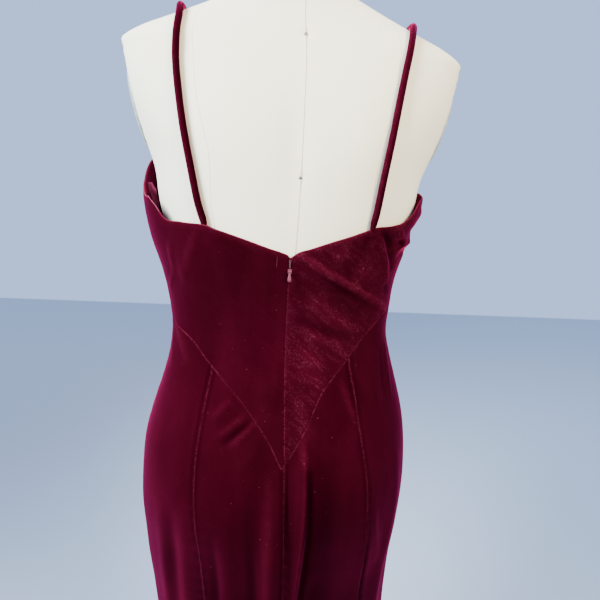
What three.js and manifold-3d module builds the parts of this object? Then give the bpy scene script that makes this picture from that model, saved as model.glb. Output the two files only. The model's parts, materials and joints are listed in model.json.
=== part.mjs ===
// Velvet mermaid gown with thin tube straps on a limbless dress form with a round stand.
//
// Millimetres, +Z up, floor at z = 0. The back of the gown faces +Y and the wearer's left is +X.
// A turn is an angle about the form's axis: 0 at centre back, 90 at the wearer's left side.

import * as THREE from 'three';
import Module from 'manifold-3d';

const DEG = Math.PI / 180;

// ---------------------------------------------------------------- driving dimensions

const WALL = 2; // velvet with its facing
const SEAM_GAP = 0.3;
const HEM_HEIGHT = 8;
const SECTION_POWER = 2.25; // 2 is an ellipse, more is squarer

const FLUTES = 12; // soft waves round the hem
const FLUTE_OUT = 24; // half the depth of a wave at the hem
const FLUTE_START = 650; // above this height the skirt has no flutes
const FLUTE_GROWTH = 1.6;

const STRAP_RADIUS = 3.9;
const STRAP_LIFT = 5; // from the form's surface to the strap's centre
const STRAP_SIDES = 8;
const STRAP_STEPS = 24;
const STRAP_END = 3; // from the gown's top edge to the centre of the strap's cut end

const NECK_TOP = 1500;
const NECK_CAP_THICK = 12;
const FORM_BOTTOM = 760;
const FORM_SIDES = 40;

// The form's armholes are cut off flat and covered by an oval plate.
const ARM_CUT = { low: 1240, halfLow: 164, high: 1352, halfHigh: 192.5 };
const PLATE = { height: 1296, tall: 50, deep: 35, thick: 5, gap: 0.5 }; // tall and deep are halves

const POLE_RADIUS = 16;
const BASE_RADIUS = 190;
const BASE_THICK = 12;

const ZIP_HEIGHT = 1119.5; // the pull tab's hinge
const SLIDER = { wide: 4, tall: 5, thick: 1.8 };
const PIN = { out: 1.6, radius: 0.45, half: 1.65 }; // out is measured from the slider's face
const POST = { wide: 0.7, tall: 1.8 };
const PULL = { long: 12, wide: 4.4, neck: 2, thick: 1, barrel: 1.25, hole: 0.75 };
const COIL = { wide: 2.4, thick: 1, top: 1133.5, bottom: 1123 };

// ---------------------------------------------------------------- tables

function table(names, rows) {
  const keys = names.split(' ');
  return rows.map((row) => Object.fromEntries(keys.map((key, i) => [key, row[i]])));
}

// Level sections of the dress form, from its bottom to its neck.
const FORM = table('height half back front', [
  [760, 157, 112, 110],
  [785, 161.5, 117, 112],
  [820, 164.5, 122, 113],
  [860, 166, 123, 113],
  [900, 163.5, 117, 111],
  [940, 156.5, 106, 107],
  [980, 145, 93, 102],
  [1010, 137, 84, 98],
  [1040, 130.5, 80, 96],
  [1075, 131.5, 82.5, 99],
  [1110, 135, 88.5, 107.5],
  [1150, 146, 95, 119],
  [1190, 156, 99.5, 127],
  [1235, 163.5, 101, 121],
  [1265, 177, 98, 106],
  [1300, 193, 91.5, 93],
  [1330, 202, 83, 80],
  [1352, 204, 75.5, 69.5],
  [1368, 203, 69.5, 62],
  [1380, 185, 65, 57],
  [1392, 156, 61, 53],
  [1404, 126, 58, 51],
  [1416, 96, 56, 51],
  [1428, 68, 54, 52],
  [1440, 56, 50, 54],
  [1462, 52, 44, 56],
  [1500, 50, 40, 58],
]);

// Level sections of the gown's outside, before its folds and flutes.
const GOWN = table('height left right back front', [
  [8, 393, 393, 366, 338],
  [100, 339, 339, 306, 285],
  [200, 284, 284, 245, 232],
  [300, 233, 233, 191, 184],
  [380, 198, 199, 155, 151],
  [440, 177, 179, 133, 131],
  [500, 162, 165, 118, 118],
  [550, 156.5, 159, 111, 112],
  [600, 154, 158, 109, 110],
  [650, 155.5, 158.5, 110, 111],
  [700, 161.5, 158.5, 113, 113],
  [740, 167.5, 160.5, 117, 114.5],
  [780, 171, 166, 122.5, 116.5],
  [820, 175, 169.5, 127, 117.5],
  [860, 175, 171, 127.5, 117.5],
  [900, 171.5, 169, 121.5, 115.5],
  [940, 161.5, 162.5, 110.5, 111.5],
  [980, 149.7, 151.7, 97.5, 106.5],
  [1010, 142.7, 142.7, 88.5, 102.5],
  [1040, 140.5, 135.5, 84.5, 100.5],
  [1075, 145, 137, 87, 103.5],
  [1110, 153, 140.5, 93, 112],
  [1150, 166.5, 151.5, 100, 124.5],
  [1180, 173.5, 161.5, 104, 132],
  [1210, 177, 168, 106.5, 132],
  [1250, 180.5, 173, 107, 124],
  [1300, 183, 178, 106, 108],
]);

// What the sections leave out of a figure, the same on both sides.
const ROUNDINGS = table('turn height out turnSpread heightSpread', [
  [145, 1192, 15, 19, 42], // bust
  [180, 1192, -7, 16, 45], // between the cups
  [33, 862, 5, 20, 60], // seat
  [0, 862, -3, 10, 50],
  [40, 1262, 5, 20, 50], // shoulder blades
  [0, 1240, -3, 10, 60],
]);

// Where the up-and-down seams lie, as turns at a few heights.
const SEAMS = table('height back princessL sideL frontL frontR sideR princessR end', [
  [8, -3, 41, 88, 143, 217, 272, 314, 357],
  [600, -4, 39, 88, 143, 217, 272, 313, 356],
  [740, -4.3, 38.5, 88, 143, 217, 272, 311.5, 355.7],
  [860, -2, 39.5, 88, 143, 217, 272, 318, 358],
  [930, -1, 43.3, 87, 144, 216, 273, 317.5, 359],
  [1010, 0, 47, 86, 145, 215, 274, 315.7, 360],
  [1270, 0, 47, 86, 145, 215, 274, 315.7, 360],
]);
const SEAM_ORDER = ['back', 'princessL', 'sideL', 'frontL', 'frontR', 'sideR', 'princessR', 'end'];
const COLUMNS = [11, 10, 12, 18, 12, 10, 11]; // between one seam and the next

// Heights of the gown's top edge and of the basque seam, from centre back to centre front.
const TOP_EDGE = table('turn left right', [
  [0, 1134, 1134],
  [1.2, 1136.5, 1135.5],
  [4, 1138.7, 1139.2],
  [13, 1143.2, 1145],
  [26, 1151, 1154],
  [37, 1158, 1162],
  [46, 1164.5, 1170.3],
  [58, 1167, 1175],
  [66, 1171.5, 1182.5],
  [69.5, 1183.5, 1192],
  [73, 1191.3, 1202],
  [78, 1195, 1209.5],
  [84, 1204, 1214],
  [88, 1215, 1217],
  [94, 1231.5, 1221],
  [102, 1249, 1230],
  [120, 1258, 1246],
  [135, 1260, 1257],
  [146, 1263, 1263],
  [153, 1254, 1254],
  [162, 1228, 1228],
  [171, 1196, 1196],
  [180, 1162, 1162],
]);
const BASQUE = table('turn left right', [
  [0, 902, 902],
  [7, 928, 924],
  [13, 944, 943],
  [23, 965, 977],
  [34, 984, 1000],
  [42, 997, 1015],
  [52, 1013, 1036],
  [60, 1029, 1052],
  [69, 1040, 1066],
  [80, 1048, 1074],
  [92, 1051, 1076],
  [130, 1058, 1066],
  [180, 1060, 1060],
]);
const ROWS_ABOVE = 6; // of facets between the top edge and the basque seam
const ROWS_BELOW = 16;
const ROW_SPREAD = 1.2; // rows get taller towards the hem

// Largest folds, as soft ridges from one place on the cloth to another.
const FOLDS = table('fromTurn fromHeight toTurn toHeight out spread', [
  [56, 850, 60, 560, 3.5, 9], // drapes on the left of the skirt
  [43, 850, 47, 560, 3, 9],
  [25.5, 860, 27, 560, 3.5, 10],
  [6, 870, 4, 560, 3, 8],
  [-12.5, 925, -9, 560, 5, 9], // the ridge right of centre back, with its valley
  [-20.5, 770, -22, 540, -3, 7],
  [-44, 900, -50, 560, 3, 7],
  [-62, 860, -60, 560, 3, 10],
  [-9, 1120, -66, 1075, 2.5, 9], // pulls across the right of the back bodice
  [-14, 1066, -56, 1044, 2, 8],
  [-74, 1180, -60, 1130, 2, 7],
  [-92, 1176, -66, 1164, -3, 7], // pinched under the right arm
  [-90, 1196, -68, 1186, 2.5, 7],
  [62, 1140, 60, 1090, 1.5, 7],
  [120, 840, 118, 560, 3, 10], // drapes on the front
  [152, 840, 153, 560, 3, 10],
  [184, 830, 186, 560, 3.5, 10],
  [214, 840, 213, 560, 3, 10],
  [244, 840, 246, 560, 3, 10],
]);
const FOLD_RADIUS = 125; // turns the fold's turns into millimetres across the cloth

// The strap's route, up the back, over the shoulder and down the front. Its ends are on the top edge.
const STRAP_ROUTE = table('left right height side', [
  [92.6, 88.5, 1168, 1],
  [98.2, 90.3, 1190, 1],
  [105, 93, 1229, 1],
  [112, 97.5, 1265, 1],
  [120.5, 106.4, 1303, 1],
  [125.7, 114, 1334, 1],
  [126.9, 120.2, 1360, 1],
  [126.2, 125.5, 1383, 1],
  [127.5, 129.5, 1396, 1],
  [129, 132, 0, 0],
  [129, 131, 1396, -1],
  [128.5, 129, 1383, -1],
  [125, 126, 1352, -1],
  [117, 118, 1322, -1],
  [105, 105, 1296, -1],
  [87, 87, 1263, -1],
]);

// ---------------------------------------------------------------- surfaces

// Smooth value of one column of a table, between its rows.
function read(rows, by, column, at) {
  const last = rows.length - 1;
  const x = Math.min(Math.max(at, rows[0][by]), rows[last][by]);
  let i = 0;
  while (i < last - 1 && x > rows[i + 1][by]) i += 1;
  const step = (k) => rows[k + 1][by] - rows[k][by];
  const rise = (k) => (rows[k + 1][column] - rows[k][column]) / step(k);
  const slope = (k) => {
    if (k === 0) return rise(0);
    if (k === last) return rise(last - 1);
    return (rise(k) * step(k - 1) + rise(k - 1) * step(k)) / (step(k) + step(k - 1));
  };
  const h = step(i);
  const t = (x - rows[i][by]) / h;
  return (2 * t ** 3 - 3 * t ** 2 + 1) * rows[i][column]
    + (t ** 3 - 2 * t ** 2 + t) * h * slope(i)
    + (3 * t ** 2 - 2 * t ** 3) * rows[i + 1][column]
    + (t ** 3 - t ** 2) * h * slope(i + 1);
}

// Turns are in degrees. The signed turn runs from -180 to 180.
const signed = (turn) => turn - 360 * Math.round(turn / 360);

function sectionRadius(rows, turn, height) {
  const side = Math.sin(turn * DEG) > 0 ? 'left' : 'right';
  const half = read(rows, 'height', side in rows[0] ? side : 'half', height);
  const depth = read(rows, 'height', Math.cos(turn * DEG) > 0 ? 'back' : 'front', height);
  const across = Math.abs(Math.sin(turn * DEG)) / half;
  const along = Math.abs(Math.cos(turn * DEG)) / depth;
  return (across ** SECTION_POWER + along ** SECTION_POWER) ** (-1 / SECTION_POWER);
}

function rounding(turn, height) {
  const a = Math.abs(signed(turn));
  let out = 0;
  for (const r of ROUNDINGS) {
    const u = (a - r.turn) / r.turnSpread;
    const v = (height - r.height) / r.heightSpread;
    out += r.out * Math.exp(-u * u - v * v);
  }
  return out;
}

const armHalf = (height) => {
  const share = (height - ARM_CUT.low) / (ARM_CUT.high - ARM_CUT.low);
  return ARM_CUT.halfLow + (ARM_CUT.halfHigh - ARM_CUT.halfLow) * share;
};

function formRadius(turn, height) {
  const radius = sectionRadius(FORM, turn, height) + rounding(turn, height);
  if (height < ARM_CUT.low) return radius;
  const across = Math.max(Math.abs(Math.sin(turn * DEG)), 0.1);
  return Math.min(radius, armHalf(height) / across);
}

function flute(turn, height) {
  if (height >= FLUTE_START) return 0;
  const t = turn * DEG;
  const grown = ((FLUTE_START - height) / (FLUTE_START - HEM_HEIGHT)) ** FLUTE_GROWTH;
  const uneven = 0.8 + 0.2 * Math.cos(3 * t + 0.7);
  return FLUTE_OUT * grown * uneven * Math.cos(FLUTES * t + 0.5 * Math.sin(2 * t + 1));
}

function folds(turn, height) {
  let out = 0;
  for (const f of FOLDS) {
    const du = signed(f.toTurn - f.fromTurn) * DEG * FOLD_RADIUS;
    const dv = f.toHeight - f.fromHeight;
    const u = signed(turn - f.fromTurn) * DEG * FOLD_RADIUS;
    const v = height - f.fromHeight;
    const t = Math.min(Math.max((u * du + v * dv) / (du * du + dv * dv), 0), 1);
    const off = Math.hypot(u - t * du, v - t * dv) / f.spread;
    if (off < 4) out += f.out * Math.sin(Math.PI * t) ** 0.7 * Math.exp(-off * off);
  }
  return out;
}

function gownRadius(turn, height) {
  const body = sectionRadius(GOWN, turn, height) + rounding(turn, height);
  return body + folds(turn, height) + flute(turn, height);
}

function place(radius, turn, height) {
  return new THREE.Vector3(radius * Math.sin(turn * DEG), radius * Math.cos(turn * DEG), height);
}

// A point on a surface, moved out along the surface's normal.
function lifted(surface, turn, height, out) {
  const at = (t, z) => place(surface(t, z), t, z);
  const round = at(turn + 0.5, height).sub(at(turn - 0.5, height));
  const down = at(turn, height - 1).sub(at(turn, height + 1));
  const normal = round.cross(down).normalize();
  return at(turn, height).addScaledVector(normal, out);
}

// ---------------------------------------------------------------- solids

function signedVolume(points, faces) {
  let sum = 0;
  for (const [a, b, c] of faces) sum += points[a].dot(points[b].clone().cross(points[c]));
  return sum / 6;
}

function solid(points, faces) {
  const out = signedVolume(points, faces) < 0 ? faces.map(([a, b, c]) => [a, c, b]) : faces;
  const geometry = new THREE.BufferGeometry().setFromPoints(points);
  geometry.setIndex(out.flat());
  geometry.computeVertexNormals();
  return geometry;
}

// A wall between an outer and an inner grid of the same rows and columns.
function wall(outer, inner) {
  const tall = outer.length - 1;
  const wide = outer[0].length - 1;
  const points = [...outer.flat(), ...inner.flat()];
  const o = (r, c) => r * (wide + 1) + c;
  const i = (r, c) => o(r, c) + (tall + 1) * (wide + 1);
  const faces = [];
  for (let r = 0; r < tall; r += 1) {
    for (let c = 0; c < wide; c += 1) {
      faces.push([o(r, c), o(r, c + 1), o(r + 1, c)]);
      faces.push([o(r, c + 1), o(r + 1, c + 1), o(r + 1, c)]);
      faces.push([i(r, c), i(r + 1, c), i(r, c + 1)]);
      faces.push([i(r, c + 1), i(r + 1, c), i(r + 1, c + 1)]);
    }
  }
  // Rims that face each other across a seam are split along the same diagonal.
  const edge = (r0, c0, r1, c1) => {
    if (r0 + c0 < r1 + c1) {
      faces.push([o(r1, c1), o(r0, c0), i(r1, c1)]);
      faces.push([o(r0, c0), i(r0, c0), i(r1, c1)]);
    } else {
      faces.push([o(r1, c1), o(r0, c0), i(r0, c0)]);
      faces.push([o(r1, c1), i(r0, c0), i(r1, c1)]);
    }
  };
  for (let c = 0; c < wide; c += 1) {
    edge(0, c, 0, c + 1);
    edge(tall, c + 1, tall, c);
  }
  for (let r = 0; r < tall; r += 1) {
    edge(r, wide, r + 1, wide);
    edge(r + 1, 0, r, 0);
  }
  return solid(points, faces);
}

// Closed rings joined one to the next, with a centre point closing each end.
function loft(rings, first, last) {
  const n = rings[0].length;
  const points = [...rings.flat(), first, last];
  const p = (r, c) => r * n + (c % n);
  const start = points.length - 2;
  const end = points.length - 1;
  const faces = [];
  for (let c = 0; c < n; c += 1) {
    faces.push([p(0, c + 1), p(0, c), start]);
    faces.push([p(rings.length - 1, c), p(rings.length - 1, c + 1), end]);
    for (let r = 0; r < rings.length - 1; r += 1) {
      faces.push([p(r, c), p(r, c + 1), p(r + 1, c)]);
      faces.push([p(r, c + 1), p(r + 1, c + 1), p(r + 1, c)]);
    }
  }
  return solid(points, faces);
}

// ---------------------------------------------------------------- gown panels

const edgeHeight = (rows, turn) => {
  const side = signed(turn);
  return read(rows, 'turn', side < 0 ? 'right' : 'left', Math.abs(side));
};

function seamTurn(seam, fraction, height) {
  const from = read(SEAMS, 'height', SEAM_ORDER[seam], height);
  const to = read(SEAMS, 'height', SEAM_ORDER[seam + 1], height);
  return from + (to - from) * fraction;
}

// Height of a row: 0 at the top edge, ROWS_ABOVE at the basque seam, the last at the hem.
function rowHeight(row, turn) {
  const seam = edgeHeight(BASQUE, turn);
  if (row <= ROWS_ABOVE) {
    const top = edgeHeight(TOP_EDGE, turn);
    return top + (seam - top) * (row / ROWS_ABOVE);
  }
  const share = ((row - ROWS_ABOVE) / ROWS_BELOW) ** ROW_SPREAD;
  return seam + (HEM_HEIGHT - seam) * share;
}

// The turn and the height where a row crosses a column depend on each other.
function crossing(seam, fraction, row) {
  let height = 1000;
  let turn = 0;
  for (let i = 0; i < 16; i += 1) {
    turn = seamTurn(seam, fraction, height);
    height = rowHeight(row, turn);
  }
  return { turn, height };
}

// A panel runs from one seam to another, and from one row to another.
function panel({ from, to, firstRow, lastRow }) {
  const columns = [];
  for (let seam = from; seam < to; seam += 1) {
    for (let k = seam === from ? 0 : 1; k <= COLUMNS[seam]; k += 1) {
      columns.push([seam, k / COLUMNS[seam]]);
    }
  }
  const outer = [];
  const inner = [];
  for (let row = firstRow; row <= lastRow; row += 1) {
    const outside = [];
    const inside = [];
    columns.forEach(([seam, fraction], c) => {
      const at = crossing(seam, fraction, row);
      const slope = (edgeHeight(BASQUE, at.turn + 0.5) - edgeHeight(BASQUE, at.turn - 0.5))
        / (DEG * gownRadius(at.turn, at.height));
      const up = (SEAM_GAP / 2) * Math.hypot(1, slope);
      const aside = SEAM_GAP / 2 / gownRadius(at.turn, at.height) / DEG;
      const turn = at.turn + (c === 0 ? aside : 0) - (c === columns.length - 1 ? aside : 0);
      let height = at.height;
      if (row === ROWS_ABOVE && lastRow === ROWS_ABOVE) height += up;
      if (row === ROWS_ABOVE && firstRow === ROWS_ABOVE) height -= up;
      outside.push(lifted(gownRadius, turn, height, 0));
      inside.push(lifted(gownRadius, turn, height, -WALL));
    });
    outer.push(outside);
    inner.push(inside);
  }
  return wall(outer, inner);
}

const LAST_ROW = ROWS_ABOVE + ROWS_BELOW;
const PANELS = {
  bodice_back_left: { from: 0, to: 2, firstRow: 0, lastRow: ROWS_ABOVE },
  bodice_back_right: { from: 5, to: 7, firstRow: 0, lastRow: ROWS_ABOVE },
  skirt_back_left: { from: 0, to: 1, firstRow: ROWS_ABOVE, lastRow: LAST_ROW },
  skirt_back_right: { from: 6, to: 7, firstRow: ROWS_ABOVE, lastRow: LAST_ROW },
  side_back_left: { from: 1, to: 2, firstRow: ROWS_ABOVE, lastRow: LAST_ROW },
  side_back_right: { from: 5, to: 6, firstRow: ROWS_ABOVE, lastRow: LAST_ROW },
  front_side_left: { from: 2, to: 3, firstRow: 0, lastRow: LAST_ROW },
  front_side_right: { from: 4, to: 5, firstRow: 0, lastRow: LAST_ROW },
  front_centre: { from: 3, to: 4, firstRow: 0, lastRow: LAST_ROW },
};

// ---------------------------------------------------------------- straps

// Height of the shoulder's crest at a distance from the middle.
function crest(half) {
  let low = 1380;
  let high = 1440;
  for (let i = 0; i < 40; i += 1) {
    const middle = (low + high) / 2;
    if (read(FORM, 'height', 'half', middle) > half) low = middle;
    else high = middle;
  }
  return low;
}

// A route's point on the form, moved out by the strap's lift. A side of 0 is the shoulder's crest.
function strapPoint(row, sign, isEnd) {
  const { side } = row;
  const half = sign > 0 ? row.left : row.right;
  const height = side === 0 ? crest(half) : row.height;
  const turnAt = (z) => {
    const wide = read(FORM, 'height', 'half', z);
    const depth = read(FORM, 'height', side > 0 ? 'back' : 'front', z);
    const rest = Math.max(0, 1 - (half / wide) ** SECTION_POWER);
    return Math.atan2(half, side * depth * rest ** (1 / SECTION_POWER)) / DEG;
  };
  const z = isEnd ? edgeHeight(TOP_EDGE, sign * turnAt(height)) + STRAP_END : height;
  const point = lifted(formRadius, turnAt(z), z, STRAP_LIFT);
  point.x *= sign;
  return point;
}

function strap(sign) {
  const last = STRAP_ROUTE.length - 1;
  const path = new THREE.CatmullRomCurve3(
    STRAP_ROUTE.map((row, i) => strapPoint(row, sign, i === 0 || i === last)),
  );
  const round = new THREE.Shape();
  for (let k = 0; k < STRAP_SIDES; k += 1) {
    const a = (2 * Math.PI * k) / STRAP_SIDES;
    const x = STRAP_RADIUS * Math.cos(a);
    const y = STRAP_RADIUS * Math.sin(a);
    if (k === 0) round.moveTo(x, y);
    else round.lineTo(x, y);
  }
  return new THREE.ExtrudeGeometry(round, {
    steps: STRAP_STEPS,
    extrudePath: path,
    bevelEnabled: false,
  });
}

// ---------------------------------------------------------------- dress form and stand

function formRing(height) {
  const ring = [];
  for (let k = 0; k < FORM_SIDES; k += 1) {
    const turn = (360 * k) / FORM_SIDES;
    ring.push(place(formRadius(turn, height), turn, height));
  }
  return ring;
}

function torso() {
  const heights = FORM.map((row) => row.height).reverse();
  const top = heights[0];
  const bottom = heights[heights.length - 1];
  return loft(heights.map(formRing), new THREE.Vector3(0, 0, top), new THREE.Vector3(0, 0, bottom));
}

function neckCap() {
  const scaled = (height, scale) => formRing(NECK_TOP).map((p) => (
    new THREE.Vector3(p.x * scale, p.y * scale, height)
  ));
  const low = NECK_TOP + SEAM_GAP;
  const high = low + NECK_CAP_THICK;
  const rings = [
    scaled(high, 0.9),
    scaled(high - 3, 1),
    scaled(low + 2, 1),
    scaled(low, 0.97),
  ];
  return loft(rings, new THREE.Vector3(0, 0, high), new THREE.Vector3(0, 0, low));
}

// An oval plate, slightly domed, lying on the flat of the form's cut armhole.
function armPlate(sign) {
  const spokes = 24;
  const lean = (ARM_CUT.halfHigh - ARM_CUT.halfLow) / (ARM_CUT.high - ARM_CUT.low);
  const long = Math.hypot(1, lean);
  const at = (y, up, out) => new THREE.Vector3(
    sign * (armHalf(PLATE.height) + (up * lean + out) / long),
    y,
    PLATE.height + (up - out * lean) / long,
  );
  const ring = (share, out) => {
    const points = [];
    for (let k = 0; k < spokes; k += 1) {
      const a = (2 * Math.PI * k) / spokes;
      points.push(at(share * PLATE.deep * Math.cos(a), share * PLATE.tall * Math.sin(a), out));
    }
    return points;
  };
  const far = PLATE.gap + PLATE.thick;
  const rings = [ring(0.6, far - 0.4), ring(0.94, far - 1.4), ring(1, far - 2.8), ring(1, PLATE.gap)];
  return loft(rings, at(0, 0, far), at(0, 0, PLATE.gap));
}

function upright(geometry, height) {
  geometry.rotateX(90 * DEG);
  geometry.translate(0, 0, height);
  return geometry;
}

function pole() {
  const low = BASE_THICK + SEAM_GAP;
  const high = FORM_BOTTOM - SEAM_GAP;
  const geometry = new THREE.CylinderGeometry(POLE_RADIUS, POLE_RADIUS, high - low, 24);
  return upright(geometry, (low + high) / 2);
}

function base() {
  const profile = [
    [0, 0],
    [BASE_RADIUS, 0],
    [BASE_RADIUS, BASE_THICK - 4],
    [BASE_RADIUS - 5, BASE_THICK],
    [0, BASE_THICK],
  ].map(([x, y]) => new THREE.Vector2(x, y));
  return upright(new THREE.LatheGeometry(profile, 40), 0);
}

// ---------------------------------------------------------------- zip

const wasm = await Module();
wasm.setup();

function fromManifold(body) {
  const mesh = body.getMesh();
  const geometry = new THREE.BufferGeometry();
  geometry.setAttribute('position', new THREE.BufferAttribute(new Float32Array(mesh.vertProperties), 3));
  geometry.setIndex(new THREE.BufferAttribute(new Uint32Array(mesh.triVerts), 1));
  return geometry;
}

const zipFace = (height) => gownRadius(0, height) + SEAM_GAP;

// Coil of the open end of the zip, lying on the two back panels.
function zipCoil() {
  const outer = [];
  const inner = [];
  for (const height of [COIL.top, (COIL.top + COIL.bottom) / 2, COIL.bottom]) {
    const row = (out) => [-0.5, 0, 0.5].map((side) => (
      lifted(gownRadius, (side * COIL.wide) / gownRadius(0, height) / DEG, height, out)
    ));
    outer.push(row(SEAM_GAP + COIL.thick));
    inner.push(row(SEAM_GAP));
  }
  return wall(outer, inner);
}

const sliderFace = zipFace(ZIP_HEIGHT + SLIDER.tall / 2) + SLIDER.thick;
const pinY = sliderFace + PIN.out;

// Body of the slider with two posts and the pin that the pull hangs on.
function slider() {
  const { Manifold } = wasm;
  const block = (wide, deep, tall, y, z) => (
    Manifold.cube([wide, deep, tall], true).translate([0, y, z])
  );
  const face = sliderFace - SLIDER.thick / 2;
  const body = block(SLIDER.wide, SLIDER.thick, SLIDER.tall, face, ZIP_HEIGHT);
  const deep = PIN.out + PIN.radius + 0.6;
  const posts = [-1, 1].map((side) => (
    block(POST.wide, deep, POST.tall, sliderFace + deep / 2 - 0.2, ZIP_HEIGHT)
      .translate([side * PIN.half, 0, 0])
  ));
  const pin = Manifold.cylinder(2 * PIN.half, PIN.radius, PIN.radius, 12, true)
    .rotate([0, 90, 0])
    .translate([0, pinY, ZIP_HEIGHT]);
  return fromManifold(posts.reduce((sum, post) => sum.add(post), body).add(pin));
}

// Teardrop tab hanging from a barrel that turns on the pin.
function pull() {
  const { Manifold } = wasm;
  const disc = (radius, z) => Manifold.cylinder(PULL.thick, radius, radius, 24, true)
    .rotate([90, 0, 0])
    .translate([0, 0, z]);
  const rod = (radius, long) => Manifold.cylinder(long, radius, radius, 16, true)
    .rotate([0, 90, 0]);
  const top = -PULL.barrel;
  const low = PULL.barrel + PULL.wide / 2 - PULL.long;
  const tab = Manifold.hull([disc(PULL.neck / 2, top), disc(PULL.wide / 2, low)]);
  const body = tab.add(rod(PULL.barrel, PULL.neck)).subtract(rod(PULL.hole, 2 * PULL.wide));
  return fromManifold(body.translate([0, pinY, ZIP_HEIGHT]));
}

// ---------------------------------------------------------------- materials and assembly

const velvet = () => new THREE.MeshStandardMaterial({ color: '#52061c', roughness: 0.95 });
const linen = () => new THREE.MeshStandardMaterial({ color: '#e6e3dc', roughness: 0.9 });
const platePaint = () => new THREE.MeshStandardMaterial({ color: '#9da096', roughness: 0.6 });
const steel = () => new THREE.MeshStandardMaterial({
  color: '#a9acb0',
  roughness: 0.35,
  metalness: 0.9,
});
const enamel = () => new THREE.MeshStandardMaterial({
  color: '#8c2b44',
  roughness: 0.35,
  metalness: 0.3,
});
const nylon = () => new THREE.MeshStandardMaterial({ color: '#8d8187', roughness: 0.6 });

const gown = new THREE.Group();

function add(name, geometry, material) {
  const mesh = new THREE.Mesh(geometry, material);
  mesh.name = name;
  gown.add(mesh);
}

for (const [name, spec] of Object.entries(PANELS)) add(name, panel(spec), velvet());
add('strap_left', strap(1), velvet());
add('strap_right', strap(-1), velvet());
add('zip_coil', zipCoil(), nylon());
add('zip_slider', slider(), enamel());
add('zip_pull', pull(), enamel());
add('form_torso', torso(), linen());
add('form_neck_cap', neckCap(), platePaint());
add('form_arm_plate_left', armPlate(1), platePaint());
add('form_arm_plate_right', armPlate(-1), platePaint());
add('stand_pole', pole(), steel());
add('stand_base', base(), steel());

export default gown;
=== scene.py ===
# %% [markdown]
# # A velvet mermaid gown on a dress form
#
# The gown is cut from nine velvet panels: two pointed back bodice halves, two centre back
# skirt panels, two side backs, two side fronts and one centre front. Two velvet tubes are its
# straps, and a zip closes the back. A linen dress form on a round steel stand wears it.
#
# Each panel is made as a flat grid and wrapped on the body, which is how real cloth gets its
# shape: flat pieces take a curve from the seams between them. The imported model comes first,
# because its solids say where everything is.

import json
import math

import bmesh
import bpy
import numpy as np
from mathutils import Matrix, Vector


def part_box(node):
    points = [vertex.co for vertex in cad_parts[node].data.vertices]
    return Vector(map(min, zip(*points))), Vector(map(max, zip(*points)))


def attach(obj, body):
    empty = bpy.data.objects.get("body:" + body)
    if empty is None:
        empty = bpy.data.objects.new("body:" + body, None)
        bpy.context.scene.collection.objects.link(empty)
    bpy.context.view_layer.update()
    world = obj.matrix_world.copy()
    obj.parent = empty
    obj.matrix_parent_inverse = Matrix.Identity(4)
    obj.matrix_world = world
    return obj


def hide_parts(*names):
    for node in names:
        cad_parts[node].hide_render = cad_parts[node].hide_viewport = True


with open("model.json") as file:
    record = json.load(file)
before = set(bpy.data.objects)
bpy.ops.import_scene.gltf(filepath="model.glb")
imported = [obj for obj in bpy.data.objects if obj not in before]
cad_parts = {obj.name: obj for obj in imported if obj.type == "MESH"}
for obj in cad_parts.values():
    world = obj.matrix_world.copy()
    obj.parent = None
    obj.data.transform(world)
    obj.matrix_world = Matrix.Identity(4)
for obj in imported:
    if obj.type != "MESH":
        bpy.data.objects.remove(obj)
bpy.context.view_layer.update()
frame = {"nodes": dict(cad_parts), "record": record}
GOWN_BODY = "gown_on_form"
TAB_BODY = "pull_tab"
MM = 0.001

# %% [markdown]
# ## Small tables, read smoothly
#
# A figure is described like a pattern cutter does it: a few level sections, each with a half
# width and a depth to the back and to the front. Between two rows the size is read from a cubic
# curve, so that the surface has no kinks. NumPy reads a whole panel at once, which keeps the
# script quick. Sizes in the tables are millimetres and turns are degrees about the form's axis,
# with 0 at centre back and 90 at the wearer's left side.


# %% Table helpers
def table(names, *rows):
    """Named columns of a short table."""
    return dict(zip(names.split(), np.array(rows, float).T))


def read(rows, column, at):
    """Smooth value of a column, where the first column has the value asked for."""
    x, v = next(iter(rows.values())), rows[column]
    step = np.diff(x)
    rise = np.diff(v) / step
    slope = np.concatenate([rise[:1], rise[:-1], rise[-1:]])
    slope[1:-1] = (rise[1:] * step[:-1] + rise[:-1] * step[1:]) / (step[1:] + step[:-1])
    at = np.clip(at, x[0], x[-1])
    i = np.clip(np.searchsorted(x, at, side="right") - 1, 0, len(x) - 2)
    h, t = step[i], (at - x[i]) / step[i]
    start = (2 * t**3 - 3 * t**2 + 1) * v[i] + (t**3 - 2 * t**2 + t) * h * slope[i]
    return start + (3 * t**2 - 2 * t**3) * v[i + 1] + (t**3 - t**2) * h * slope[i + 1]


def signed(turn):
    """A turn from -180 to 180 degrees."""
    return turn - 360 * np.round(turn / 360)


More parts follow.
